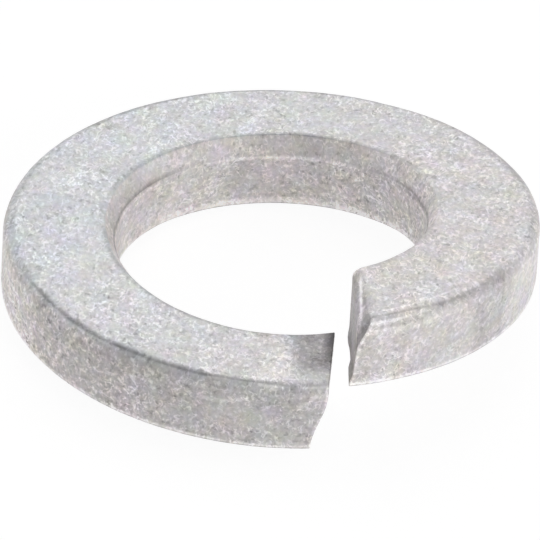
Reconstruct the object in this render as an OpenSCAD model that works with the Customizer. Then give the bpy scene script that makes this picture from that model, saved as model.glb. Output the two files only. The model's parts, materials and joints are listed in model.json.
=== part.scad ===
// Single-coil spring lock washer for an 8 mm bolt: one turn of trapezoid wire
// wound as a left-hand helix, sheared through so that its two ends stand apart.
// Sizes are in millimetres and degrees. The Z axis is the bolt's axis, and the
// lowest point of the washer is at Z = 0. Angles run anticlockwise from +X.

/* [Ring] */
// Outside diameter
outer_d = 14.5; // [13:0.1:18]
// Bore diameter
bore_d = 8.4; // [7.4:0.1:9.4]
// Thickness of the wire beside the bore
bore_t = 2.0; // [1.6:0.05:3]
// Thickness of the wire at the rim
rim_t = 1.9; // [1.6:0.05:3]

/* [Spring] */
// Height that the helix gains in one full turn
pitch = 1.88; // [1.2:0.02:3]
// Height by which the ring is bowed up at its two sides
bow = 0.07; // [0:0.01:0.2]
// Direction of the two sides that are bowed up
bow_angle = -8; // [-90:1:90]

/* [Edges] */
// Width of the bevel round the top of the bore
bevel_w = 0.33; // [0.15:0.01:0.6]
// Depth of the bevel round the top of the bore
bevel_h = 0.5; // [0.2:0.01:0.7]
// Radius of the rounded edge round the top of the rim
rim_r = 0.43; // [0.2:0.01:0.6]
// Size of the small broken edges round the underside
edge = 0.1; // [0.04:0.01:0.2]

/* [Cut] */
// Distance from the ring's axis to the middle of the gap, which runs along Y
gap_x = 2.05; // [0.5:0.05:3]
// Width of the gap between the end faces, beside the bore
gap_w = 0.37; // [0.2:0.01:1]
// Angle by which each end face turns away from the gap towards the rim
gap_flare = 1.8; // [0:0.1:6]
// Angle by which the raised end's face leans back from upright at the rim
lean = 5.2; // [0:0.1:10]
// Width of the edge that the shear drew down on top of the raised end
roll_w = 0.2; // [0:0.01:0.3]
// Depth of the edge that the shear drew down on top of the raised end
roll_h = 0.6; // [0.3:0.01:1]
// Distance by which the lowered end's face is undercut at its foot
undercut_w = 0.4; // [0:0.01:0.6]
// Depth below the top at which the undercut begins
undercut_top = 0.25; // [0:0.01:0.8]

/* [Hidden] */
bore_r = bore_d / 2;
outer_r = outer_d / 2;

// Facets of the helical faces: rings round the turn, and rows down an end face
rings = 100;
rows = 8;
// Share of the turn in which the rings swing from square to the skewed cut
skewed_share = 0.12;

// The wire is made wider than the ring, by these amounts at its bore and rim,
// so that true cylinders can trim it to its finished bore and outside diameter
bore_spare = 0.2;
rim_spare = 0.1;
// Steepness of the last facet of the rounded rim edge, where the rim trims it
rim_slope = tan(78);
rim_arc = [0, 30, 55, 74];

// Radii at which the section has a corner
radii = concat(
    [bore_r - bore_spare, bore_r + edge, bore_r + bevel_w],
    [for (a = rim_arc) outer_r - rim_r * (1 - sin(a))],
    [outer_r + rim_spare]
);
columns = len(radii) - 1;

// Depth of the top face, the bevel and the rounded edge below the top at r
last_arc = rim_arc[len(rim_arc) - 1];
arc_end_r = outer_r - rim_r * (1 - sin(last_arc));
arc_end_h = rim_r * (1 - cos(last_arc));
function rim_drop(r) = r > arc_end_r
    ? arc_end_h + (r - arc_end_r) * rim_slope
    : rim_r - sqrt(pow(rim_r, 2) - pow(max(0, r - outer_r + rim_r), 2));
function bevel_drop(r) = max(0, bore_r + bevel_w - r) * bevel_h / bevel_w;
function top_depth(r) = rim_drop(r) + bevel_drop(r);

// Depth of the underside below the top at r
function wire_t(r) = bore_t + (rim_t - bore_t) * (r - bore_r) / (outer_r - bore_r);
function edge_rise(r) = max(0, bore_r + edge - r) + max(0, r - outer_r + edge);
function foot_depth(r) = wire_t(r) - edge_rise(r);

// An end face seen from above is a line from the bore to the rim beside the Y axis.
// start is its X beside the bore, and slope is its turn away from the Y axis.
bore_y = sqrt(pow(bore_r, 2) - pow(gap_x, 2));
rim_y = sqrt(pow(outer_r, 2) - pow(gap_x, 2));
function face_angle(r, start, slope) =
    let (turn = atan(slope), foot = start - slope * bore_y)
    turn - acos(foot * cos(turn) / r);

// Raised end: leans back more towards the rim, with a drawn-down upper edge
function raised_x(depth) = gap_x + gap_w / 2 + roll_w * pow(max(0, 1 - depth / roll_h), 2);
function raised_slope(r, depth) =
    tan(gap_flare) + (wire_t(r) - depth) * tan(lean) / (rim_y - bore_y);
function raised_angle(r, depth) = face_angle(r, raised_x(depth), raised_slope(r, depth));

// Lowered end: upright at the top, then undercut in a smooth step
function undercut(r, depth) =
    let (s = max(0, depth - undercut_top) / (wire_t(r) - undercut_top))
    undercut_w * (1 - cos(180 * min(1, s))) / 2;
function lowered_x(r, depth) = gap_x - gap_w / 2 - undercut(r, depth);
function lowered_angle(r, depth) =
    360 + face_angle(r, lowered_x(r, depth), -tan(gap_flare));

// The wire's sections run from the raised end (turn 0) to the lowered end (turn 1)
mid_r = (bore_r + outer_r) / 2;
first_a = raised_angle(mid_r, bore_t / 2);
last_a = lowered_angle(mid_r, bore_t / 2);
function fade(share) = max(0, 1 - share / skewed_share);
function wire_angle(turn, r, depth) =
    first_a + (last_a - first_a) * turn
    + (raised_angle(r, depth) - first_a) * fade(turn)
    + (lowered_angle(r, depth) - last_a) * fade(1 - turn);

// Height of the top face round the helix, above its height at the raised end
function top_z(a) = -pitch * (a - first_a) / 360 + bow * cos(2 * (a - bow_angle));

function wire_point(turn, column, row) =
    let (
        r = radii[column],
        depth = top_depth(r) + (foot_depth(r) - top_depth(r)) * row / rows,
        a = wire_angle(turn, r, depth)
    )
    [r * cos(a), r * sin(a), top_z(a) - depth];

// Each section is a grid of points: columns across the wire, rows down it
grid = (columns + 1) * (rows + 1);
function at(ring, column, row) = ring * grid + column * (rows + 1) + row;
wire_points = [
    for (ring = [0 : rings], column = [0 : columns], row = [0 : rows])
        wire_point(ring / rings, column, row)
];
lowest = min([for (p = wire_points) p[2]]);
highest = max([for (p = wire_points) p[2]]);

// Triangles of a patch with the corners a, b, c and d, clockwise seen from outside
function patch(a, b, c, d) = [[a, b, c], [a, c, d]];
function joined(lists) = [for (list = lists, item = list) item];

// The four long sides of the wire, then its two end faces
long_faces = joined([
    for (ring = [0 : rings - 1])
        let (next = ring + 1)
        joined(concat(
            [for (c = [0 : columns - 1])
                patch(at(ring, c, 0), at(next, c, 0), at(next, c + 1, 0), at(ring, c + 1, 0))],
            [for (c = [0 : columns - 1])
                patch(at(ring, c + 1, rows), at(next, c + 1, rows),
                      at(next, c, rows), at(ring, c, rows))],
            [for (k = [0 : rows - 1])
                patch(at(ring, 0, k + 1), at(next, 0, k + 1), at(next, 0, k), at(ring, 0, k))],
            [for (k = [0 : rows - 1])
                patch(at(ring, columns, k), at(next, columns, k),
                      at(next, columns, k + 1), at(ring, columns, k + 1))]
        ))
]);
end_faces = joined([
    for (c = [0 : columns - 1], k = [0 : rows - 1])
        concat(
            patch(at(0, c, k), at(0, c + 1, k), at(0, c + 1, k + 1), at(0, c, k + 1)),
            patch(at(rings, c, k), at(rings, c, k + 1),
                  at(rings, c + 1, k + 1), at(rings, c + 1, k))
        )
]);

module wire() {
    translate([0, 0, -lowest])
        polyhedron(points = wire_points, faces = concat(long_faces, end_faces), convexity = 4);
}

module trim_cylinder(r) {
    tall = highest - lowest + 2;
    translate([0, 0, -1]) cylinder(h = tall, r = r, $fn = 128);
}

module washer() {
    color("silver")
        difference() {
            intersection() {
                wire();
                trim_cylinder(outer_r);
            }
            trim_cylinder(bore_r);
        }
}

washer();
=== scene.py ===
"""Looks of the spring lock washer: its true form with worn edges, lip and sheared ends, in matt zinc."""

import json
import math
from typing import NamedTuple

import bmesh
import bpy
import numpy as np
from mathutils import Matrix, Vector, noise


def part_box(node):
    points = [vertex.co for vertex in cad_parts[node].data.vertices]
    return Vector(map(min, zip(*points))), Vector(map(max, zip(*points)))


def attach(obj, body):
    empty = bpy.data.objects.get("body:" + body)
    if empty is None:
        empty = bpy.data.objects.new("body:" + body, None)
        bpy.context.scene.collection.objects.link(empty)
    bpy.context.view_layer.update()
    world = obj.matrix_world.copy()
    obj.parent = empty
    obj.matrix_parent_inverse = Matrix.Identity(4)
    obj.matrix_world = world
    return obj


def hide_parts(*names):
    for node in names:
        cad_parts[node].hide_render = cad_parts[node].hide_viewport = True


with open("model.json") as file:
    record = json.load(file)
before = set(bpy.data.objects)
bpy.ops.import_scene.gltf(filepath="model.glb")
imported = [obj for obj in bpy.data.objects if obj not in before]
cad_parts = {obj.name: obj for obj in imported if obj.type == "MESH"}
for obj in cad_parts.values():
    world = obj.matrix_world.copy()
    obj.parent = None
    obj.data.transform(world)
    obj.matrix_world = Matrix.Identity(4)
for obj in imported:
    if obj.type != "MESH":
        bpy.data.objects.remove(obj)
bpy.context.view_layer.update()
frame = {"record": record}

# Lengths below are in millimetres and angles in degrees, unless a name says otherwise. Angles run round
# the ring from +X: from below 0 at the raised end to above 270 at the lowered end.
MM = 0.001

# The ring, with its diameters from the frame and the rest as in the part's source
LOW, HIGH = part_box("washer")
BORE = next(m for m in frame["record"]["mounts"] if m["name"] == "bore")
OUTER_R = (HIGH[0] - LOW[0]) / 2 / MM
BORE_R = BORE["dims"]["r_mm"]
BORE_T, RIM_T = 2.0, 1.9
PITCH = 1.88
BOW, BOW_ANGLE = 0.07, -8.0
FOOT_ROUND = 0.06
LIP_ROUND = 0.05

# The bevel's width, height and crease rounding, and the rim's rounding. They differ near the two ends
# and on the far side, where the bore is also a little deeper.
BEVEL_W, BEVEL_H, CREASE_ROUND = 0.33, 0.55, 0.12
END_BEVEL_W, END_BEVEL_H, END_CREASE_ROUND = 0.275, 0.42, 0.09
RIM_ROUND = 0.43
FAR_CREASE_ROUND, FAR_RIM_ROUND, FAR_SAG = 0.05, 0.33, 0.045
FLANK_RIM_ROUND = 0.475

# The cut between the two ends, and at several radii how wide and high the raised end's top is rolled over
GAP_X, GAP_W, GAP_FLARE = 2.05, 0.37, 1.8
LEAN = 5.2
ROLL_R = (4.2, 4.6, 5.2, 6.4, 7.1)
ROLL_W = (0.18, 0.22, 0.32, 0.33, 0.38)
ROLL_H = (0.30, 0.33, 0.38, 0.45, 0.72)
# The power of the roll's curve, and how much lower it is at the rim: from a radius, and over how much
ROLL_POWER, RIM_POWER_DROP = 2, 0.8
RIM_POWER_R = (6.45, 0.65)
# The burr at the foot of the raised end: its depth, its middle and width, and where it returns at the rim
BURR_W = 0.06
BURR_DEPTH = (1.5, 0.4)
BURR_MIDDLE = (4.9, 0.35)
BURR_RIM = (6.1, 0.3)
UNDERCUT_W, UNDERCUT_TOP = 0.4, 0.25
SKEWED_SHARE = 0.12
END_ROUND = 0.035

# Fineness of the mesh: rings along the turn, the first few from each end, and loops across an end face
RING_STEP = 0.078
FIRST_RINGS = (0.0, 0.008, 0.02, 0.035, 0.06)
FINE_START, FINE_REACH, FINE_STEP = 0.1, 1.5, 0.04
END_LOOPS = 22

# Skin that is kept free inside the solid, so that the lumps stay within its box
SKIN = 0.010


class Corner(NamedTuple):
    """A corner of an outline: its place, its rounding and the steps round it, and the run after it.

    run counts the points on the straight run, and ease above 1 packs them towards its end.
    """

    r: float
    z: float
    radius: float
    steps: int
    run: int
    ease: float = 1


def rounded_outline(corners):
    """Points (r, z) and outward normals along a clockwise outline."""
    points, normals = [], []
    count = len(corners)
    ends = []
    for i, corner in enumerate(corners):
        here = Vector((corner.r, corner.z))
        before = (Vector(corners[i - 1][:2]) - here).normalized()
        after = (Vector(corners[(i + 1) % count][:2]) - here).normalized()
        half = math.acos(max(-1.0, min(1.0, before.dot(after)))) / 2
        reach = corner.radius / math.tan(half)
        centre = here + (before + after).normalized() * corner.radius / math.sin(half)
        ends.append((here + before * reach, here + after * reach, centre))
    for i, (corner, (start, stop, centre)) in enumerate(zip(corners, ends)):
        a, b = start - centre, stop - centre
        turn = a.angle_signed(b)
        for k in range(corner.steps + 1):
            spoke = a.copy()
            spoke.rotate(Matrix.Rotation(-turn * k / corner.steps, 2))
            points.append(centre + spoke)
            normals.append(spoke.normalized())
        following = ends[(i + 1) % count][0]
        flat = (following - stop).normalized()
        for k in range(1, corner.run + 1):
            points.append(stop.lerp(following, 1 - (1 - k / (corner.run + 1)) ** corner.ease))
            normals.append(Vector((-flat.y, flat.x)))
    return np.array([tuple(p) for p in points]), np.array([tuple(n) for n in normals])


def smooth_step(x):
    x = np.clip(x, 0.0, 1.0)
    return x * x * (3 - 2 * x)


def rise(x, start, reach):
    """0 up to start, then rising to 1 over reach."""
    return smooth_step((x - start) / reach)


def fall(x, stop, reach):
    """1, falling over reach to 0 at stop."""
    return smooth_step((stop - x) / reach)


def window(angle, first, last, soft):
    """1 from first to last, falling to 0 over soft on both sides."""
    return smooth_step((angle - first) / soft + 1) * smooth_step((last - angle) / soft + 1)


def hump(x, centre, width):
    """A bell of height 1."""
    return np.exp(-(((x - centre) / width) ** 2))


def wire_t(r):
    """The wire's thickness at radius r."""
    return BORE_T + (RIM_T - BORE_T) * (r - BORE_R) / (OUTER_R - BORE_R)


BORE_Y = math.sqrt(BORE_R**2 - GAP_X**2)
RIM_Y = math.sqrt(OUTER_R**2 - GAP_X**2)
TAN_FLARE = math.tan(math.radians(GAP_FLARE))
TAN_LEAN = math.tan(math.radians(LEAN))


def face_angle(r, start, slope):
    """Angle at radius r of an end face that leaves the bore at X start and turns from Y by slope."""
    turn = np.arctan(slope)
    foot = start - slope * BORE_Y
    return np.degrees(turn - np.arccos(foot * np.cos(turn) / r))


def raised_angle(r, depth):
    roll_w, roll_h = np.interp(r, ROLL_R, ROLL_W), np.interp(r, ROLL_R, ROLL_H)
    power = ROLL_POWER - RIM_POWER_DROP * rise(r, *RIM_POWER_R)
    roll = roll_w * np.clip(1 - depth / roll_h, 0, None) ** power
    burr = BURR_W * rise(depth, *BURR_DEPTH) * (hump(r, *BURR_MIDDLE) + rise(r, *BURR_RIM))
    slope = TAN_FLARE + (wire_t(r) - depth) * TAN_LEAN / (RIM_Y - BORE_Y)
    return face_angle(r, GAP_X + GAP_W / 2 + roll - burr, slope)


def lowered_angle(r, depth):
    share = np.clip((depth - UNDERCUT_TOP) / (wire_t(r) - UNDERCUT_TOP), 0, 1)
    undercut = UNDERCUT_W * (1 - np.cos(math.pi * share)) / 2
    return 360 + face_angle(r, GAP_X - GAP_W / 2 - undercut, -TAN_FLARE)


# The wire turns from FIRST to LAST, the angles of its two end faces in the middle
MID_R = (BORE_R + OUTER_R) / 2
FIRST = float(raised_angle(MID_R, BORE_T / 2))
LAST = float(lowered_angle(MID_R, BORE_T / 2))


def wire_angle(turn, r, depth):
    """Angle of a point: even along the turn from 0 to 1, and skewed near the ends to meet their faces."""
    first_fade = np.clip(1 - turn / SKEWED_SHARE, 0, None)
    last_fade = np.clip(1 - (1 - turn) / SKEWED_SHARE, 0, None)
    return (
        FIRST
        + (LAST - FIRST) * turn
        + (raised_angle(r, depth) - FIRST) * first_fade
        + (lowered_angle(r, depth) - LAST) * last_fade
    )


def top_z(angle):
    bow = BOW * np.cos(np.radians(2 * (angle - BOW_ANGLE)))
    return -PITCH * (angle - FIRST) / 360 + bow


def placed(r, z, angle):
    a = np.radians(angle)
    return np.stack([r * np.cos(a), r * np.sin(a), top_z(angle) + z], -1)


RIM = OUTER_R - SKIN
TOP_EDGE = RIM - RIM_ROUND
QUARTER = RIM_ROUND * math.pi / 2


def outline(bevel_w, bevel_h, crease_round, rim_round, sag):
    """The wire's section, clockwise from the bevel's crease: (r, z) with z at most 0, and normals."""
    return rounded_outline(
        [
            Corner(BORE_R + bevel_w, -SKIN, crease_round, steps=6, run=30, ease=1.7),
            Corner(RIM, -SKIN, rim_round, steps=24, run=26, ease=1.2),
            Corner(RIM, SKIN - RIM_T, FOOT_ROUND, steps=4, run=10),
            Corner(BORE_R, SKIN - BORE_T - sag, FOOT_ROUND, steps=4, run=20),
            Corner(BORE_R, -bevel_h, LIP_ROUND, steps=6, run=12),
        ]
    )


SIDE_SECTION = (BEVEL_W, BEVEL_H, CREASE_ROUND, RIM_ROUND, 0)
NEAR_SECTION = (END_BEVEL_W, END_BEVEL_H, END_CREASE_ROUND, RIM_ROUND, 0)
FAR_SECTION = (BEVEL_W, BEVEL_H, FAR_CREASE_ROUND, FAR_RIM_ROUND, FAR_SAG)
FLANK_SECTION = (BEVEL_W, BEVEL_H, CREASE_ROUND, FLANK_RIM_ROUND, 0)

# Where the sections hold. The near one holds outside OFF_THE_ENDS, and the far one rises and falls.
OFF_THE_ENDS = (25, 170, 25)
FAR_RISE, FAR_FALL = (28, 25), (155, 50)
RIGHT_FLANK, LEFT_FLANK = (6, 62, 12), (114, 172, 10)


def sections(angle):
    """Points and normals of each ring's section: a smaller bevel near the ends, a sharper rim behind."""
    sizes = (SIDE_SECTION, NEAR_SECTION, FAR_SECTION, FLANK_SECTION)
    side, near, far, flank = (np.stack(outline(*size))[:, None] for size in sizes)
    in_front = 1 - window(angle, *OFF_THE_ENDS)[:, None, None]
    behind = (rise(angle, *FAR_RISE) * fall(angle, *FAR_FALL))[:, None, None]
    at_flanks = (window(angle, *RIGHT_FLANK) + window(angle, *LEFT_FLANK))[:, None, None]
    shape = side + in_front * (near - side) + behind * (far - side) + at_flanks * (flank - side)
    points, normals = shape
    return points, normals / np.linalg.norm(normals, axis=-1, keepdims=True)


# The marks and patches below are placed one by one. The zinc's tone is 1 plus theirs, so a tone of 0.1 is a
# tenth lighter.
class Stretch(NamedTuple):
    """An amount along the turn, whole from first to last, that fades over soft on both sides.

    Where above is given, it holds less deep than that, and fades over fade.
    """

    first: float
    last: float
    soft: float
    amount: float
    above: float = None
    fade: float = 1


class Band(NamedTuple):
    """A soft band along the turn, at a place across it, with a tone and a height.

    Where drift is given, the band moves by that much across, from an angle and over a reach.
    """

    first: float
    last: float
    soft: float
    at: float
    width: float
    tone: float
    height: float = 0
    drift: float = 0
    drift_from: tuple = (0, 1)


class Line(NamedTuple):
    """A fine mark through (angle, across) points, with a tone and a height."""

    points: tuple
    width: float
    tone: float
    height: float = 0


def amount(stretches, angle, depth=0):
    """The sum of the stretches' amounts at each point."""
    result = 0
    for s in stretches:
        here = s.amount * window(angle, s.first, s.last, s.soft)
        if s.above is not None:
            here = here * fall(depth, s.above, s.fade)
        result = result + here
    return result


def band_marks(bands, across, angle):
    """Height and tone of the bands together."""
    height, tone = 0, 0
    for b in bands:
        at = b.at + b.drift * rise(angle, *b.drift_from)
        shape = window(angle, b.first, b.last, b.soft) * hump(across, at, b.width)
        height, tone = height + b.height * shape, tone + b.tone * shape
    return height, tone


def stroke(angle, across, start, stop, width):
    """1 along a line between two (angle, across) points on the outer side, fading over width."""
    mm_per_degree = math.radians(1) * OUTER_R
    u, v = (angle - start[0]) * mm_per_degree, across - start[1]
    du, dv = (stop[0] - start[0]) * mm_per_degree, stop[1] - start[1]
    along = np.clip((u * du + v * dv) / (du * du + dv * dv), 0, 1)
    return np.exp(-((u - along * du) ** 2 + (v - along * dv) ** 2) / width**2)


def line_marks(lines, across, angle):
    """Height and tone of the lines together."""
    height, tone = 0, 0
    for line in lines:
        pairs = zip(line.points, line.points[1:])
        shape = np.max([stroke(angle, across, start, stop, line.width) for start, stop in pairs], 0)
        height, tone = height + line.height * shape, tone + line.tone * shape
    return height, tone


# Marks round the outer edge, placed by how far down over it they lie: 0 is where the top ends
OUTER_BANDS = (
    # The darker rim at the left, and more of it near the gap: painted shade on its left-facing rounding
    Band(first=200, last=282, soft=8, at=0.17, width=0.13, tone=-0.10),
    Band(first=263, last=276, soft=5, at=0.48, width=0.16, tone=-0.10),
    # The lit edge of the top near the gap
    Band(first=268, last=280, soft=6, at=-0.05, width=0.035, tone=0.14, height=0.010),
    # The bead at the right, with a painted highlight, then the metal round it, and the grooves above and
    # below it, darkened with painted shade
    Band(
        first=-70,
        last=-61,
        soft=13,
        at=0.30,
        width=0.028,
        tone=0.40,
        height=0.034,
        drift=-0.05,
        drift_from=(-64, 9),
    ),
    Band(first=-70, last=-61, soft=13, at=0.28, width=0.13, tone=-0.03),
    Band(
        first=-66,
        last=-50,
        soft=6,
        at=0.08,
        width=0.05,
        tone=-0.30,
        height=-0.018,
        drift=0.10,
        drift_from=(-58, 12),
    ),
    Band(first=-70, last=-61, soft=13, at=0.40, width=0.04, tone=-0.05, height=-0.010),
    # The lit line of the top above the bead
    Band(first=-62, last=-47, soft=6, at=-0.10, width=0.03, tone=0.34, height=0.010),
    # A streak and a stain past the bead's end
    Band(first=-48, last=-41, soft=4, at=0.22, width=0.07, tone=-0.16, height=-0.010),
    Band(first=-39, last=-29, soft=5, at=0.36, width=0.26, tone=-0.17),
)
OUTER_LINES = (
    # Two pale blots on the rim by the gap
    Line(points=((279, 0.28), (284, 0.26)), width=0.035, tone=0.32, height=0.010),
    Line(points=((269.5, 0.25), (274.5, 0.28)), width=0.045, tone=0.32, height=0.010),
    # The pale wandering line below the groove
    Line(points=((257, 0.84), (263, 0.82), (267, 0.66)), width=0.05, tone=0.36),
    Line(points=((241, 0.80), (247, 0.84)), width=0.05, tone=0.18),
    Line(points=((251.5, 0.84), (254, 0.88)), width=0.05, tone=0.18),
    # A curl and a nick by the gap
    Line(points=((281.5, 0.52), (278, 0.86)), width=0.05, tone=0.32),
    Line(points=((276.5, 0.52), (280.5, 0.62)), width=0.10, tone=-0.12, height=-0.012),
    # The long scratch at the left and three short ones at the right
    Line(points=((226, 0.50), (219, 1.86)), width=0.055, tone=0.24, height=-0.006),
    Line(points=((-61, 0.56), (-62.5, 0.70)), width=0.045, tone=0.24, height=-0.006),
    Line(points=((-38.5, 0.57), (-40.5, 0.80)), width=0.045, tone=0.24, height=-0.006),
    Line(points=((-31.5, 0.70), (-33.5, 0.95)), width=0.045, tone=0.24, height=-0.006),
)

# The drawn groove at the left: where it is whole and where it starts faintly
GROOVE, GROOVE_START, GROOVE_START_SHARE = (212, 269, 9), (200, 214, 8), 0.5
# How far down it lies, how much higher it is from one angle on and lower before another
GROOVE_DOWN = 0.24
GROOVE_RISE, GROOVE_RISE_FROM = 0.10, (230, 13)
GROOVE_DROP, GROOVE_DROP_TO, GROOVE_DROP_OVER = 0.08, 208, 6
# Its width and strength, and what is added where it is deep and where it is broad
GROOVE_W, DEEP_ADDS_W, BROAD_ADDS_W = 0.045, 0.03, 0.025
GROOVE_SHARE, DEEP_ADDS_SHARE = 0.65, 0.3
DEEP_GROOVE = (Stretch(211, 214, 3, 1), Stretch(222, 230, 3, 1), Stretch(236, 257, 3, 1))
BROAD_GROOVE = (240, 256, 4)
# The groove's depth, and its dark tone, which is painted shade in the groove
GROOVE_DEPTH, GROOVE_SHADE_TONE = 0.034, -0.46
# The shade below it: how far below, how wide, and where
UNDER_GROOVE_BY, UNDER_GROOVE_W = 0.22, 0.18
UNDER_GROOVE = (Stretch(211, 214, 2.5, -0.12), Stretch(234, 260, 7, -0.168))

# The dark skyline of the far rim, and how far down it starts and ends
SKYLINE = (Stretch(20, 136, 12, -0.26), Stretch(15, 60, 12, 0.13))
SKYLINE_START, SKYLINE_END = (-0.01, 0.08), 0.5


def groove_marks(down, angle):
    """Height of the drawn groove at the left, and the painted shade in it and below it."""
    deep = amount(DEEP_GROOVE, angle)
    there = np.clip(window(angle, *GROOVE) + GROOVE_START_SHARE * window(angle, *GROOVE_START), 0, 1)
    drop = GROOVE_DROP * np.clip((GROOVE_DROP_TO - angle) / GROOVE_DROP_OVER, 0, 1)
    at = GROOVE_DOWN - GROOVE_RISE * rise(angle, *GROOVE_RISE_FROM) + drop
    width = GROOVE_W + DEEP_ADDS_W * deep + BROAD_ADDS_W * window(angle, *BROAD_GROOVE)
    groove = there * hump(down, at, width) * (GROOVE_SHARE + DEEP_ADDS_SHARE * deep)
    under = amount(UNDER_GROOVE, angle) * hump(down, at + UNDER_GROOVE_BY, UNDER_GROOVE_W)
    return -GROOVE_DEPTH * groove, GROOVE_SHADE_TONE * groove + under


def outer_marks(down, angle):
    """Height and tone of what drawing, coiling and shearing left round the outer edge."""
    skyline = amount(SKYLINE, angle) * rise(down, *SKYLINE_START) * (down < SKYLINE_END)
    marks = [
        groove_marks(down, angle),
        band_marks(OUTER_BANDS, down, angle),
        line_marks(OUTER_LINES, down, angle),
        (0, skyline),
    ]
    return sum(height for height, _ in marks), sum(tone for _, tone in marks)


# The bevel's drawn groove and the lip below it, at each flank: where they rise and fall
LEFT_RISE, LEFT_FALL = (112, 34), (205, 10)
RIGHT_RISE, RIGHT_FALL = (-18, 12), (64, 40)
# The lip, with 1 where bevel and bore meet, and how much lower it is beside the groove
LIP_AT, LIP_LOWER, LIP_W, LIP_HEIGHT = 1.0, 0.14, 0.065, 0.018
# The lip's tone is a painted highlight, with stretches where it is stronger or weaker
LIP_HIGHLIGHT_TONE = 0.16
LIP_HIGHLIGHT_STRETCHES = (
    Stretch(64, 114, 10, 0.22),
    Stretch(148, 176, 8, 0.08),
    Stretch(30, 60, 8, -0.13),
    Stretch(-10, 8, 6, -0.16),
)
# The groove above it: its place and width, and its depth and its painted shade everywhere and at the flanks
BEVEL_GROOVE_AT, BEVEL_GROOVE_W = 0.94, 0.11
BEVEL_GROOVE_LOWER = (Stretch(-4, 18, 8, 0.11), Stretch(136, 172, 8, 0.05))
FAINT_DEPTH, FLANK_DEPTH = 0.006, 0.026
FAINT_GROOVE_SHADE, LEFT_GROOVE_SHADE, RIGHT_GROOVE_SHADE = -0.02, -0.37, -0.43
# Painted shade in the crease between top and bevel, behind and at the near edges
CREASE_SHADE_BANDS = (
    Band(first=36, last=145, soft=14, at=0.02, width=0.08, tone=-0.26),
    Band(first=192, last=266, soft=14, at=0.02, width=0.08, tone=-0.30),
    Band(first=-70, last=-20, soft=14, at=0.02, width=0.08, tone=-0.12),
    Band(first=74, last=90, soft=6, at=-0.02, width=0.10, tone=-0.2),
    Band(first=158, last=178, soft=7, at=-0.02, width=0.10, tone=-0.2),
    Band(first=10, last=15, soft=5, at=-0.02, width=0.10, tone=-0.12),
)


def inner_marks(share, angle):
    """Height along the bevel, with a painted highlight on the lip and painted shade in the groove and the
    crease, where share runs from 0 at its crease to 1 at the lip.
    """
    left = rise(angle, *LEFT_RISE) * fall(angle, *LEFT_FALL)
    right = rise(angle, *RIGHT_RISE) * fall(angle, *RIGHT_FALL)
    lip = hump(share, LIP_AT + LIP_LOWER * np.clip(left + right, 0, 1), LIP_W)
    groove = hump(share, BEVEL_GROOVE_AT + amount(BEVEL_GROOVE_LOWER, angle), BEVEL_GROOVE_W)
    height = LIP_HEIGHT * lip - (FAINT_DEPTH + FLANK_DEPTH * (left + right)) * groove
    # Painted highlight on the lip, then painted shade in the groove
    tone = (LIP_HIGHLIGHT_TONE + amount(LIP_HIGHLIGHT_STRETCHES, angle)) * lip
    tone += (FAINT_GROOVE_SHADE + LEFT_GROOVE_SHADE * left + RIGHT_GROOVE_SHADE * right) * groove
    return height, tone + band_marks(CREASE_SHADE_BANDS, share, angle)[1]


# Tone of each region, and stretches where it is lighter or darker. Those of the rim are shares of its tone.
RIM_TONE = -0.10
RIM_STRETCHES = (
    Stretch(172, 184, 6, 0.3),
    Stretch(140, 162, 10, -0.6),
    Stretch(-70, 0, 20, -0.5),
    # Painted shade on the rim's left-facing rounding
    Stretch(190, 232, 8, -0.9),
    Stretch(267, 284, 5, 0.7),
)
BEVEL_TONE = 0.07
BEVEL_STRETCHES = (
    Stretch(50, 150, 20, -0.09),
    Stretch(62, 92, 12, -0.09),
    Stretch(26, 44, 8, 0.08),
    Stretch(-6, 6, 5, 0.12),
    Stretch(52, 68, 6, 0.08, above=0.3, fade=0.2),
    Stretch(150, 190, 10, -0.06),
    Stretch(150, 205, 14, 0.11, above=0.34, fade=0.3),
)
BORE_TONE = 0.06
BORE_STRETCHES = (Stretch(112, 160, 10, 0.10), Stretch(72, 104, 8, -0.05))
BORE_BANDS = (
    Band(first=12, last=104, soft=10, at=0.75, width=0.15, tone=0.06),
    Band(first=12, last=104, soft=10, at=1.55, width=0.2, tone=0.06),
)
WALL_TONE = 0.07
WALL_STRETCHES = (
    Stretch(-26, 10, 6, 0.05),
    Stretch(-20, -6, 5, 0.09, above=1.3, fade=0.3),
    Stretch(-39, -31, 3, -0.12),
    Stretch(186, 207, 8, 0.12),
    Stretch(218, 282, 9, -0.09),
    Stretch(230, 244, 5, -0.05),
    Stretch(250, 282, 14, -0.05),
    Stretch(215, 270, 14, -0.08, above=1.0, fade=0.5),
)

# The lit edge of the foot, placed by its height above the underside, and the bands above it in the bore
FOOT_AT, FOOT_W, FOOT_TONE = 0.085, 0.045, 0.36
FOOT_STRETCHES = (Stretch(235, 290, 20, 0.22), Stretch(-70, -57, 6, 0.3))
BORE_FOOT_BANDS = (
    Band(first=66, last=126, soft=14, at=0.17, width=0.05, tone=0.26),
    Band(first=30, last=116, soft=10, at=0.10, width=0.08, tone=0.13),
    Band(first=36, last=52, soft=8, at=0.10, width=0.08, tone=0.38),
)
# The rounding under the foot, darkened with painted shade: how far down a normal has to lean, and where it
# ends at the underside
UNDER_FOOT_SHADE, UNDER_FOOT_LEAN, UNDER_FOOT_END = -0.25, (0.1, 0.3), (-0.97, 0.1)

# The top, with a lit patch just before the lowered end
TOP_TONE = 0.07
LIT_PATCH_TONE, LIT_PATCH, LIT_PATCH_R = 0.15, (271, 276, 2.5), (5.5, 6.6, 0.35)
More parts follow.
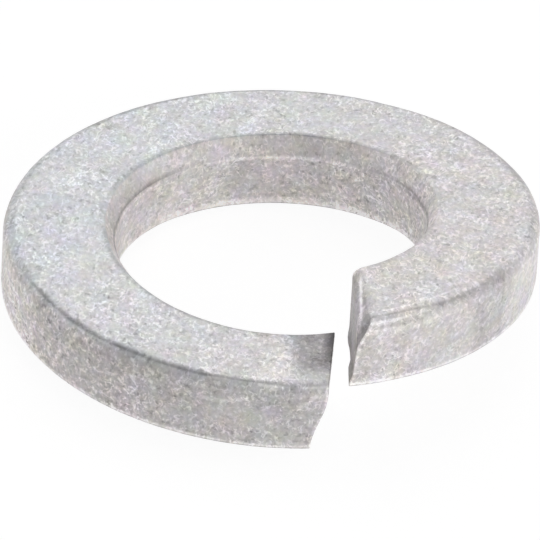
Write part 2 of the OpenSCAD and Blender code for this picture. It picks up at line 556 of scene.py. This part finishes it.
# The lowered end's dark corner, painted shadow of the raised end beside it: where it starts and its curve,
# then each part's tone and reach in radius
LOW_END, LOW_END_POWER = (271, 13), 1.5
LOW_END_SHADOW_TONE, LOW_END_R = -0.13, (7.1, 0.3)
CORNER_SHADOW_TONE, CORNER_R = -0.34, (6.85, 0.9)
LOW_EDGE_SHADOW_TONE, LOW_EDGE_W, LOW_EDGE_R = -0.36, 0.24, (6.8, 1.3)
# The darker edge along the raised end's cut: painted shade where its top rolls over
CUT_EDGE_SHADE_TONE, CUT_EDGE_W, CUT_EDGE_R = -0.12, 0.13, (5.2, 0.8)

# How far a normal has to lean to a side for its point to count as there, sharply and softly
FACING, SOFT_FACING = (0.9, 0.08), (0.6, 0.3)
# The same for the rim's rounding, outward, and for the bevel, inward: from one lean to another
RIM_LEAN, RIM_LEAN_END = (0.15, 0.3), (0.97, 0.15)
BEVEL_LEAN, BEVEL_LEAN_END = 0.3, 0.97


def top_tone(r, depth, angle):
    lit_patch = window(angle, *LIT_PATCH) * window(r, *LIT_PATCH_R)
    low_end = rise(angle, *LOW_END) ** LOW_END_POWER
    to_low_edge = np.radians(lowered_angle(r, depth) - angle) * r
    to_cut = np.radians(angle - raised_angle(r, depth)) * r
    return (
        TOP_TONE
        + LIT_PATCH_TONE * lit_patch
        # Painted shadow of the raised end on the lowered end's top, at its corner and along its cut
        + LOW_END_SHADOW_TONE * low_end * fall(r, *LOW_END_R)
        + CORNER_SHADOW_TONE * low_end * fall(r, *CORNER_R)
        + LOW_EDGE_SHADOW_TONE * hump(to_low_edge, 0, LOW_EDGE_W) * fall(r, *LOW_EDGE_R)
        # Painted shade on the raised end's top along its cut
        + CUT_EDGE_SHADE_TONE * hump(to_cut, 0, CUT_EDGE_W) * rise(r, *CUT_EDGE_R)
    )


def on_bevel(nr, nz):
    return (nr < -BEVEL_LEAN) * (nr > -BEVEL_LEAN_END) * (nz > 0)


def region_tone(r, depth, nr, nz, angle):
    """Tone of the broad fields: the regions, their patches, the darker rim, the lit foot and the painted
    shade under the foot.
    """
    rim_band = rise(nr, *RIM_LEAN) * fall(nr, *RIM_LEAN_END) * (nz > 0)
    bore = rise(-nr, *FACING)
    above_foot = wire_t(r) - depth
    foot = hump(above_foot, FOOT_AT, FOOT_W) * (np.abs(nr) > SOFT_FACING[0])
    tone = RIM_TONE * rim_band * (1 + amount(RIM_STRETCHES, angle))
    tone += on_bevel(nr, nz) * (BEVEL_TONE + amount(BEVEL_STRETCHES, angle, depth))
    tone += bore * (BORE_TONE + amount(BORE_STRETCHES, angle))
    tone += bore * band_marks(BORE_BANDS, depth, angle)[1]
    tone += bore * band_marks(BORE_FOOT_BANDS, above_foot, angle)[1]
    tone += rise(nr, *FACING) * (WALL_TONE + amount(WALL_STRETCHES, angle, depth))
    tone += rise(nz, *FACING) * top_tone(r, depth, angle)
    tone += foot * (FOOT_TONE + amount(FOOT_STRETCHES, angle))
    # Painted shade on the rounding under the foot
    return tone + UNDER_FOOT_SHADE * rise(-nz, *UNDER_FOOT_LEAN) * rise(nz, *UNDER_FOOT_END)


# How strongly the grain shows: everywhere, on the bevel, on the outer wall and in the bore
GRAIN, BEVEL_GRAIN = 1.05, -0.25
WALL_GRAIN = 0.02
WALL_GRAIN_STRETCHES = (Stretch(195, 240, 20, 0.32), Stretch(-54, 0, 12, -0.28))
BORE_GRAIN = 0.10
BORE_GRAIN_STRETCHES = (Stretch(20, 62, 10, 0.30), Stretch(128, 170, 10, -0.25))
# A smeared patch on the front of the wall, along the turn and by depth
SMEAR, SMEAR_TURN, SMEAR_DEPTH = 0.5, (259, 270, 3), (0.72, 1.2, 0.12)


def grain_strength(depth, nr, nz, angle):
    """How strongly the grain shows: more on the left of the rim and in the bore, less on its right."""
    smear = SMEAR * window(angle, *SMEAR_TURN) * window(depth, *SMEAR_DEPTH)
    on_wall = WALL_GRAIN + amount(WALL_GRAIN_STRETCHES, angle) - smear
    in_bore = BORE_GRAIN + amount(BORE_GRAIN_STRETCHES, angle)
    walls = rise(nr, *SOFT_FACING) * on_wall + rise(-nr, *SOFT_FACING) * in_bore
    return GRAIN + walls + BEVEL_GRAIN * on_bevel(nr, nz)


# Warmth of the walls, more of it in the bore and at the left, and of the top on its warm side, where it is a
# painted tint of the light: cooler at the left, warmer at the right
WALL_WARMTH, BORE_ADDS_WARMTH = 0.045, 0.02
LEFT_WARMTH = (Stretch(195, 235, 25, 0.025),)
TOP_LIGHT_TINT, WARMER_LIGHT_SIDE = 0.045, -20
CUT_WARMTH = 0.05


def region_warmth(nr, angle):
    """How far the tint leans to yellow: on the walls and in the bore, and least on the left of the top,
    where it is a painted tint of the cooler light from the left.
    """
    wall = rise(np.abs(nr), *SOFT_FACING)
    on_walls = WALL_WARMTH + BORE_ADDS_WARMTH * (nr < 0) + amount(LEFT_WARMTH, angle)
    on_top = TOP_LIGHT_TINT * np.cos(np.radians(angle - WARMER_LIGHT_SIDE))
    return wall * on_walls + (1 - wall) * on_top


# The sheared ends. The lit line below the roll: its depth at a radius, its slope, and its bend at the rim.
CUT_TONE = -0.22
CUT_LINE_DEPTH, CUT_LINE_R, CUT_LINE_SLOPE = 0.12, 5.2, 0.09
CUT_BEND_R, CUT_BEND_SLOPE = 6.45, 0.35
CUT_LINE_W, CUT_LINE_REACH, CUT_LINE_TONE = 0.035, (5.0, 6.5, 0.3), 0.85
# The rolled strip above that line, darkened with painted shade as it faces away from the light, from a depth
# down to a bit above the line
ROLLED_TOP, ROLLED_GAP, ROLLED_SOFT, ROLLED_R, ROLLED_SHADE_TONE = 0.03, 0.06, 0.03, (5.3, 0.5), -0.10
# A lit streak that runs outward with depth, and a lit spot, as centre and width
STREAK_LEAN, STREAK_AT, STREAK_DEPTH, STREAK_TONE = 0.9, (6.1, 0.07), (0.15, 0.75, 0.15), 0.34
SPOT_R, SPOT_DEPTH, SPOT_TONE = (5.0, 0.12), (0.75, 0.12), 0.25
# The torn metal at the rim and at the foot
TORN_RIM_R, TORN_RIM_DEPTH, TORN_RIM_TONE = (6.7, 0.25), (1.1, 0.3), 0.28
TORN_FOOT_DEPTH, TORN_FOOT_TONE = (1.2, 0.4), 0.18


def cut_tone(r, depth):
    """Tone of a sheared end: darker, with lit flecks, painted shade on the rolled strip, and dark where it
    was torn at the rim and the foot.
    """
    bend = CUT_BEND_SLOPE * np.clip(r - CUT_BEND_R, 0, None)
    line_at = CUT_LINE_DEPTH + CUT_LINE_SLOPE * (r - CUT_LINE_R) + bend
    line = hump(depth, line_at, CUT_LINE_W) * window(r, *CUT_LINE_REACH)
    rolled = window(depth, ROLLED_TOP, line_at - ROLLED_GAP, ROLLED_SOFT) * rise(r, *ROLLED_R)
    streak = hump(r - STREAK_LEAN * depth, *STREAK_AT) * window(depth, *STREAK_DEPTH)
    spot = hump(r, *SPOT_R) * hump(depth, *SPOT_DEPTH)
    torn = TORN_RIM_TONE * rise(r, *TORN_RIM_R) * fall(depth, *TORN_RIM_DEPTH)
    torn += TORN_FOOT_TONE * rise(depth, *TORN_FOOT_DEPTH)
    lit = CUT_LINE_TONE * line + STREAK_TONE * streak + SPOT_TONE * spot
    return CUT_TONE + lit + ROLLED_SHADE_TONE * rolled - np.clip(torn, 0, TORN_RIM_TONE)


def ring_turns():
    """Each ring's place along the turn, from 0 to 1 and closer near the ends, and how far its end is."""
    span = math.radians(LAST - FIRST) * OUTER_R
    near = np.concatenate([FIRST_RINGS, np.arange(FINE_START, FINE_REACH, FINE_STEP)])
    start, stop = near[-1] + RING_STEP, span - near[-1] - RING_STEP
    middle = np.linspace(start, stop, round((stop - start) / RING_STEP))
    turns = np.concatenate([near, middle, span - near[::-1]]) / span
    return turns, np.minimum(turns, 1 - turns) * span


# How far the outer and inner marks reach in from the rim's edge and out and down from the bevel
OUTER_REACH, INNER_REACH, INNER_REACH_DOWN = 0.8, 0.1, 0.25
# The outer marks end where the section turns under, and its wall starts where a normal is level
TURNED_UNDER, LEVEL = -0.1, 0.002
# A faint ridge round the bore, and the lit burr along each end but not on the top, as centre and width
RIDGE_DEPTH, RIDGE_HEIGHT, RIDGE_TONE = (1.28, 0.05), 0.008, 0.03
END_BURR, END_BURR_TONE = (0.03, 0.04), 0.26


def ring_marks(depth, nr, nz, angle, from_end):
    """Height and tone of the rings' points, by their places on the side section."""
    points, turned = outline(*SIDE_SECTION)
    side_r, side_z = points.T
    turned_r, turned_z = turned.T
    tone = region_tone(side_r, -side_z, nr, nz, angle)
    over_edge = np.where(
        turned_z > LEVEL,
        QUARTER * np.arctan2(turned_r, turned_z) / (math.pi / 2),
        QUARTER - side_z - RIM_ROUND,
    )
    down = np.where(side_r < TOP_EDGE, side_r - TOP_EDGE, over_edge)
    outer = (side_r > TOP_EDGE - OUTER_REACH) & (turned_z > TURNED_UNDER)
    outer_height, outer_tone = outer_marks(down, angle)
    inner = (side_r < BORE_R + BEVEL_W + INNER_REACH) & (side_z > -BEVEL_H - INNER_REACH_DOWN)
    inner_height, inner_tone = inner_marks(-side_z / BEVEL_H, angle)
    ridge = hump(depth, *RIDGE_DEPTH) * (nr < -FACING[0])
    burr = hump(from_end, *END_BURR)[:, None] * (nz < FACING[0])
    height = outer_height * outer + inner_height * inner + RIDGE_HEIGHT * ridge
    tone = tone + outer_tone * outer + inner_tone * inner + RIDGE_TONE * ridge + END_BURR_TONE * burr
    return height, tone


def end_loops(r, z):
    """Points and tones of the loops that close both ends, each narrowing to a single hub."""
    centre = np.array([MID_R, -(BORE_T + RIM_T) / 4])
    points, tones = [], []
    for ring, at_angle in ((0, raised_angle), (-1, lowered_angle)):
        edge = np.stack([r[ring], z[ring]], -1)
        for loop in range(1, END_LOOPS + 1):
            part = centre + (edge - centre) * (1 - loop / END_LOOPS)
            if loop == END_LOOPS:
                part = part[:1]
            part_r, part_z = part.T
            points.append(placed(part_r, part_z, at_angle(part_r, -part_z)))
            tones.append(cut_tone(part_r, -part_z))
    return np.concatenate(points), np.concatenate(tones)


def build_washer():
    """Points and faces of the whole skin, and each point's tone, warmth, grain and whether it is sheared."""
    turns, from_end = ring_turns()
    inset = END_ROUND - np.sqrt(END_ROUND**2 - np.clip(END_ROUND - from_end, 0, None) ** 2)
    section, normal = sections(FIRST + (LAST - FIRST) * turns)
    nr, nz = normal[..., 0], normal[..., 1]
    r = section[..., 0] - nr * inset[:, None]
    z = section[..., 1] - nz * inset[:, None]
    angle = wire_angle(turns[:, None], r, -z)
    warmth = region_warmth(nr, angle)
    grain = grain_strength(-z, nr, nz, angle)
    height, tone = ring_marks(-z, nr, nz, angle, from_end)
    r = r + nr * height
    z = z + nz * height

    end_points, end_tone = end_loops(r, z)
    points = np.concatenate([placed(r, z, angle).reshape(-1, 3), end_points])
    on_ends = np.ones(len(end_points))
    tone = np.concatenate([tone.ravel(), end_tone])
    warmth = np.concatenate([warmth.ravel(), CUT_WARMTH * on_ends])
    grain = np.concatenate([grain.ravel(), on_ends])
    sheared = np.concatenate([np.zeros(r.size), on_ends])
    return points, faces_of(*r.shape), (tone, warmth, grain, sheared)


def faces_of(rings, count):
    """Quads round the turn, then the loops and the fan that close each end."""
    faces = []
    around = np.arange(count)
    following = (around + 1) % count
    for i in range(rings - 1):
        a, b = i * count, (i + 1) * count
        faces += np.stack([a + around, a + following, b + following, b + around], -1).tolist()
    start = rings * count
    for first_end, outer in ((True, 0), (False, (rings - 1) * count)):
        loops = [outer] + [start + k * count for k in range(END_LOOPS - 1)]
        for a, b in zip(loops, loops[1:]):
            quad = [a + around, b + around, b + following, a + following]
            faces += np.stack(quad if first_end else quad[::-1], -1).tolist()
        hub = start + (END_LOOPS - 1) * count
        fan = [loops[-1] + around, np.full(count, hub), loops[-1] + following]
        faces += np.stack(fan if first_end else fan[::-1], -1).tolist()
        start = hub + 1
    return faces


# Lumps of the coat, as height and scale: the broad ones, the fine ones, and those of the torn ends,
# whose scale differs along X, Y and Z. The fine ones are a fractal of falloff, step and octaves.
LUMP_H, LUMP_SCALE = 0.006, 0.9
FINE_LUMP_H, FINE_LUMP_SCALE, FINE_LUMP_FRACTAL = 0.0035, 3.5, (0.7, 2.1, 3)
TORN_LUMP_H, TORN_LUMP_SCALE = 0.014, Vector((3, 5, 1.5))


def roughen(mesh, sheared):
    """Moves each point along its normal by soft lumps, and more on the sheared ends."""
    count = len(mesh.vertices)
    co = np.empty(count * 3, np.float32)
    no = np.empty(count * 3, np.float32)
    mesh.vertices.foreach_get("co", co)
    mesh.vertices.foreach_get("normal", no)
    co, no = co.reshape(-1, 3), no.reshape(-1, 3)
    lumps = np.empty(count)
    for i, p in enumerate(co):
        at = Vector(p)
        fine = noise.fractal(at * FINE_LUMP_SCALE, *FINE_LUMP_FRACTAL)
        lumps[i] = LUMP_H * noise.noise(at * LUMP_SCALE) + FINE_LUMP_H * fine
        if sheared[i]:
            lumps[i] += TORN_LUMP_H * noise.noise(at * TORN_LUMP_SCALE)
    moved = co + no * lumps[:, None]
    mesh.vertices.foreach_set("co", moved.astype(np.float32).ravel())
    mesh.update()


def patchy(points, scale, seed):
    """Soft noise from 0 to 1 at each point."""
    values = np.array([noise.noise(Vector(p) * scale + Vector((seed, 0, 0))) for p in points])
    return np.clip(0.5 + PATCH_CONTRAST * values, 0, 1)


# Soft patches in the coat: their scale and seed, then the least and the range of what they multiply by.
# The stains are added instead, about their middle.
TONE_PATCHES, TONE_LEAST, TONE_RANGE = (3.0, 7.0), 0.8, 0.4
STAINS, STAIN_RANGE = (1.3, 3.0), 0.10
GRAIN_PATCHES, GRAIN_LEAST, GRAIN_RANGE = (0.9, 11.0), 0.75, 0.5
PATCH_CONTRAST = 0.9


def washer_piece():
    points, faces, (tone, warmth, grain, sheared) = build_washer()
    mesh = bpy.data.meshes.new("washer_skin")
    mesh.from_pydata(points.tolist(), [], faces)
    mesh.update()
    roughen(mesh, sheared)
    tone = tone * (TONE_LEAST + TONE_RANGE * patchy(points, *TONE_PATCHES))
    tone = tone + STAIN_RANGE * (patchy(points, *STAINS) - 0.5)
    grain = grain * (GRAIN_LEAST + GRAIN_RANGE * patchy(points, *GRAIN_PATCHES))
    for name, values in (("tone", 1 + tone), ("warmth", warmth), ("grain", grain), ("sheared", sheared)):
        attribute = mesh.attributes.new(name, "FLOAT", "POINT")
        attribute.data.foreach_set("value", values.astype(np.float32))
    co = np.empty(len(mesh.vertices) * 3, np.float32)
    mesh.vertices.foreach_get("co", co)
    co = co.reshape(-1, 3)
    co[:, 2] -= co[:, 2].min()
    mesh.vertices.foreach_set("co", (co * MM).ravel())
    mesh.polygons.foreach_set("use_smooth", [True] * len(mesh.polygons))
    mesh.update()
    piece = bpy.data.objects.new("washer_skin", mesh)
    bpy.context.scene.collection.objects.link(piece)
    return piece


class Nodes:
    """Short ways to add and link the nodes of one material."""

    def __init__(self, material):
        material.use_nodes = True
        self.tree = material.node_tree
        self.shader = self.tree.nodes["Principled BSDF"]

    def add(self, kind, **settings):
        node = self.tree.nodes.new("ShaderNode" + kind)
        for name, value in settings.items():
            setattr(node, name, value)
        return node

    def link(self, source, target):
        self.tree.links.new(source, target)
        return target

    def feed(self, socket, value):
        if isinstance(value, bpy.types.NodeSocket):
            self.link(value, socket)
        else:
            socket.default_value = value

    def math(self, operation, *values):
        node = self.add("Math", operation=operation)
        for socket, value in zip(node.inputs, values):
            self.feed(socket, value)
        return node.outputs[0]

    def scaled(self, vector, factors):
        """A vector times a factor along X, Y and Z."""
        node = self.add("VectorMath", operation="MULTIPLY")
        self.link(vector, node.inputs[0])
        node.inputs[1].default_value = factors
        return node.outputs[0]

    def attribute(self, name):
        return self.add("Attribute", attribute_name=name).outputs["Fac"]

    def noise(self, at, scale, detail=2.0, roughness=0.5, distortion=0.0):
        node = self.add("TexNoise")
        self.link(at, node.inputs["Vector"])
        node.inputs["Scale"].default_value = scale
        node.inputs["Detail"].default_value = detail
        node.inputs["Roughness"].default_value = roughness
        node.inputs["Distortion"].default_value = distortion
        return node

    def ramp(self, value, low, high, to_low=0.0, to_high=1.0):
        node = self.add("MapRange", interpolation_type="SMOOTHSTEP")
        for name, number in (("From Min", low), ("From Max", high), ("To Min", to_low), ("To Max", to_high)):
            node.inputs[name].default_value = number
        self.link(value, node.inputs["Value"])
        return node.outputs["Result"]

    def weighted(self, start, *terms):
        """start plus each (value, weight)."""
        result = start
        for value, weight in terms:
            result = self.math("MULTIPLY_ADD", value, weight, result)
        return result


ZINC_GREY = 0.66
ZINC_TINT = (1.004, 0.990, 1.006)
METALLIC, ROUGHNESS = 0.45, 0.44
# How far red, green and blue each wander and lean with warmth, and the scale of that play
TINT_PLAY = (0.22, 0.22, 0.44)
WARMTH_LEAN = (0.5, -0.1, -0.45)
TINT_SCALE = 1.7
# The grain's scale along X, Y and Z, then that of its parts, in marks a millimetre
GRAIN_SCALE = (1.0, 0.68, 1.0)
CURL_SCALE, BREAK_SCALE, SPECKLE_SCALE, PIT_SCALE, MOTTLE_SCALE = 4.6, 7.5, 9.0, 6.5, 1.8
STREAK_SCALE = (9.0, 9.0, 1.2)
# How wide the curls are, and between which values of their noise the breaks and the pits begin and end
CURL_W = 0.09
BREAK_RANGE, PIT_RANGE = (0.40, 0.58), (0.30, 0.42)
# The shade without its grain, the grain's mean, which is taken off it, and the relief's height
PLAIN_SHADE, GRAIN_MEAN = 0.89, 0.434
BUMP_H = 0.004


def zinc_material():
    """Matt zinc: pale wiggly flecks, small dark pits, a faint play of tint, worn and sheared places, and the
    painted highlights and shade that the points' tone carries.
    """
    mat = bpy.data.materials.new("matt_zinc")
    n = Nodes(mat)
    in_mm = n.scaled(n.add("TexCoord").outputs["Object"], (1 / MM, 1 / MM, 1 / MM))
    at = n.scaled(in_mm, GRAIN_SCALE)

    curls = n.noise(at, CURL_SCALE, detail=1.0, distortion=1.0).outputs["Fac"]
    off_middle = n.math("ABSOLUTE", n.math("SUBTRACT", curls, 0.5))
    breaks = n.noise(at, BREAK_SCALE, detail=1.0).outputs["Fac"]
    flecks = n.math("MULTIPLY", n.ramp(off_middle, 0.0, CURL_W, 1.0, 0.0), n.ramp(breaks, *BREAK_RANGE))
    speckle = n.noise(at, SPECKLE_SCALE, detail=3.0, roughness=0.6, distortion=0.4).outputs["Fac"]
    pits = n.ramp(n.noise(at, PIT_SCALE, distortion=0.3).outputs["Fac"], *PIT_RANGE, 1.0, 0.0)
    mottle = n.noise(at, MOTTLE_SCALE, detail=3.0, roughness=0.6).outputs["Fac"]
    sheared = n.attribute("sheared")
    streaks = n.noise(n.scaled(at, STREAK_SCALE), 1.0, detail=3.0, roughness=0.6).outputs["Fac"]
    torn = n.math("MULTIPLY", sheared, streaks)

    grain = n.weighted(-GRAIN_MEAN, (flecks, 0.32), (speckle, 0.82), (pits, -0.18))
    grain = n.math("MULTIPLY", grain, n.attribute("grain"))
    shade = n.weighted(PLAIN_SHADE, (grain, 1.0), (mottle, 0.10), (torn, 0.15))
    # The points' tone, which holds painted highlights and shade as well as the zinc's own marks
    shade = n.math("MULTIPLY", shade, n.attribute("tone"))
    tint_grey(n, at, n.math("MULTIPLY", shade, ZINC_GREY))

    n.shader.inputs["Metallic"].default_value = METALLIC
    rough = n.weighted(ROUGHNESS, (speckle, 0.16), (pits, 0.10), (sheared, 0.10))
    n.link(rough, n.shader.inputs["Roughness"])
    bump = n.add("Bump")
    bump.inputs["Strength"].default_value = 1.0
    bump.inputs["Distance"].default_value = BUMP_H * MM
    relief = n.weighted(0.0, (flecks, 0.5), (speckle, 1.0), (pits, -0.7), (torn, 2.0))
    n.link(relief, bump.inputs["Height"])
    n.link(bump.outputs[0], n.shader.inputs["Normal"])
    return mat


def tint_grey(n, at, grey):
    """The base colour: a grey that leans with warmth and wanders a little in each channel."""
    warmth = n.attribute("warmth")
    play = n.add("SeparateColor")
    n.link(n.noise(at, TINT_SCALE, detail=4.0, roughness=0.75).outputs["Color"], play.inputs[0])
    colour = n.add("CombineColor")
    for channel, lean in enumerate(WARMTH_LEAN):
        tint = n.math("SUBTRACT", play.outputs[channel], 0.5)
        share = n.weighted(ZINC_TINT[channel], (warmth, lean), (tint, TINT_PLAY[channel]))
        n.link(n.math("MULTIPLY", grey, share), colour.inputs[channel])
    n.link(colour.outputs[0], n.shader.inputs["Base Color"])


# The hull is made from one point in HULL_STEP. A face smaller than SLIVER is passed over, as its direction
# says nothing, and so is one whose normal rises less than LEAST_RISE, as it is too steep to rest on.
HULL_STEP, SLIVER, LEAST_RISE = 7, 1, 0.5


def resting_floor(piece):
    """The plane under the washer's three lowest contacts, on which its weight rests."""
    co = [v.co / MM for v in piece.data.vertices]
    weight = sum(co, Vector()) / len(co)
    hull = bmesh.new()
    for p in co[::HULL_STEP]:
        hull.verts.new(p)
    bmesh.ops.convex_hull(hull, input=hull.verts)
    under = []
    for face in hull.faces:
        a, b, c = (v.co for v in face.verts[:3])
        up = (b - a).cross(c - a)
        if up.length < SLIVER:
            continue
        up = up.normalized() if up.dot(weight - a) > 0 else -up.normalized()
        if up.z > LEAST_RISE:
            under.append((a.z + up.xy.dot(a.xy - weight.xy) / up.z, up))
    hull.free()
    up = max(under, key=lambda item: item[0])[1]
    lowest = min(co, key=lambda p: p.dot(up))
    return up, lowest * MM


def seen_ray(nodes, links):
    """1 for rays from the camera, a reflection or through glass, and 0 for light that scatters."""
    path = nodes.new("ShaderNodeLightPath")
    seen = path.outputs["Is Camera Ray"]
    for kind in ("Is Glossy Ray", "Is Transmission Ray"):
        either = nodes.new("ShaderNodeMath")
        either.operation = "MAXIMUM"
        links.new(seen, either.inputs[0])
        links.new(path.outputs[kind], either.inputs[1])
        seen = either.outputs[0]
    return seen


# The floor's half width, in metres
FLOOR_HALF = 3.0
# The floor's scattering colour, and how it is seen: a plain white glow, the rest from scattered light
FLOOR_SCATTER = 0.9
FLOOR_GLOW, FLOOR_SEEN = 0.9, 0.17


def floor_material():
    """A pale floor that is seen white, yet keeps the washer's faint shadow."""
    mat = bpy.data.materials.new("pale_floor")
    mat.use_nodes = True
    nodes, links = mat.node_tree.nodes, mat.node_tree.links
    nodes.remove(nodes["Principled BSDF"])
    seen = seen_ray(nodes, links)
    scatter = nodes.new("ShaderNodeBsdfDiffuse")
    shade = nodes.new("ShaderNodeMapRange")
    shade.inputs["To Min"].default_value = FLOOR_SCATTER
    shade.inputs["To Max"].default_value = FLOOR_SEEN
    links.new(seen, shade.inputs["Value"])
    links.new(shade.outputs[0], scatter.inputs["Color"])
    white = nodes.new("ShaderNodeEmission")
    glow = nodes.new("ShaderNodeMath")
    glow.operation = "MULTIPLY"
    glow.inputs[1].default_value = FLOOR_GLOW
    links.new(seen, glow.inputs[0])
    links.new(glow.outputs[0], white.inputs["Strength"])
    both = nodes.new("ShaderNodeAddShader")
    links.new(scatter.outputs[0], both.inputs[0])
    links.new(white.outputs[0], both.inputs[1])
    links.new(both.outputs[0], nodes["Material Output"].inputs["Surface"])
    return mat


def add_floor(piece):
    up, point = resting_floor(piece)
    mesh = bpy.data.meshes.new("floor")
    corners = [(x * FLOOR_HALF, y * FLOOR_HALF, 0) for x, y in ((-1, -1), (1, -1), (1, 1), (-1, 1))]
    mesh.from_pydata(corners, [], [(0, 1, 2, 3)])
    floor = bpy.data.objects.new("floor", mesh)
    bpy.context.scene.collection.objects.link(floor)
    floor.rotation_mode = "QUATERNION"
    floor.rotation_quaternion = Vector((0, 0, 1)).rotation_difference(up)
    floor.location = point
    mesh.materials.append(floor_material())


# The camera, from the photograph: elevation above the ring's plane, roll, distance, lens and film width
ELEVATION = 30.31
ROLL = 3.33
DISTANCE = 217.5
LENS, SENSOR_W = 537.0, 36
# The nearest that the camera sees, in metres
CLIP_START = 0.001
# The picture's middle looks this far from the ring's axis, to the right and up in the picture
AIM_Z = 3.088
AIM_RIGHT, AIM_UP = -0.055, -1.5


def add_camera():
    e, roll = math.radians(ELEVATION), math.radians(ROLL)
    back = Vector((0, -math.cos(e), math.sin(e)))
    flat_right = Vector((1, 0, 0))
    flat_up = back.cross(flat_right)
    right = flat_right * math.cos(roll) + flat_up * math.sin(roll)
    up = flat_up * math.cos(roll) - flat_right * math.sin(roll)
    anchor = Vector((0, 0, AIM_Z))
    eye = anchor + back * DISTANCE
    aim = anchor + right * AIM_RIGHT + up * AIM_UP
    back = (eye - aim).normalized()
    right = up.cross(back).normalized()
    up = back.cross(right)
    data = bpy.data.cameras.new("camera")
    data.lens = LENS
    data.sensor_width = SENSOR_W
    data.clip_start = CLIP_START
    cam = bpy.data.objects.new("camera", data)
    turn = Matrix((right, up, back)).transposed().to_4x4()
    cam.matrix_world = Matrix.Translation(eye * MM) @ turn
    bpy.context.scene.collection.objects.link(cam)
    bpy.context.scene.camera = cam


# Light: the sky's strength as a light and as what is seen, then the lamps
SKY_LIGHT, SKY_SEEN = 0.42, 1.0


class Lamp(NamedTuple):
    """A square soft lamp that faces the washer, with its size in metres and its power in watts.

    Azimuth 0 is the camera's side, and 90 is +X.
    """

    name: str
    azimuth: float
    elevation: float
    size: float
    power: float


LAMPS = (
    Lamp("back_lamp", azimuth=180, elevation=55, size=0.8, power=1.6),
    Lamp("right_lamp", azimuth=90, elevation=12, size=0.7, power=1.75),
    Lamp("front_lamp", azimuth=40, elevation=8, size=0.7, power=2.8),
    Lamp("left_lamp", azimuth=-135, elevation=25, size=0.7, power=0.75),
)
# How far the lamps stand from the washer, in metres
LAMP_DISTANCE = 1.0


def add_lamp(lamp):
    data = bpy.data.lights.new(lamp.name, "AREA")
    data.size = lamp.size
    data.energy = lamp.power
    obj = bpy.data.objects.new(lamp.name, data)
    a, e = math.radians(lamp.azimuth), math.radians(lamp.elevation)
    way = Vector((math.sin(a) * math.cos(e), -math.cos(a) * math.cos(e), math.sin(e)))
    obj.location = way * LAMP_DISTANCE
    obj.rotation_mode = "QUATERNION"
    obj.rotation_quaternion = way.to_track_quat("Z", "Y")
    bpy.context.scene.collection.objects.link(obj)


def add_light():
    world = bpy.data.worlds.new("studio")
    bpy.context.scene.world = world
    world.use_nodes = True
    nodes, links = world.node_tree.nodes, world.node_tree.links
    background = nodes["Background"]
    background.inputs["Color"].default_value = (1, 1, 1, 1)
    strength = nodes.new("ShaderNodeMapRange")
    strength.inputs["To Min"].default_value = SKY_LIGHT
    strength.inputs["To Max"].default_value = SKY_SEEN
    links.new(seen_ray(nodes, links), strength.inputs["Value"])
    links.new(strength.outputs[0], background.inputs["Strength"])
    for lamp in LAMPS:
        add_lamp(lamp)


bpy.context.scene.view_settings.view_transform = "Standard"
add_camera()
washer = washer_piece()
washer.data.materials.append(zinc_material())
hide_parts("washer")
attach(washer, "root")
add_floor(washer)
add_light()
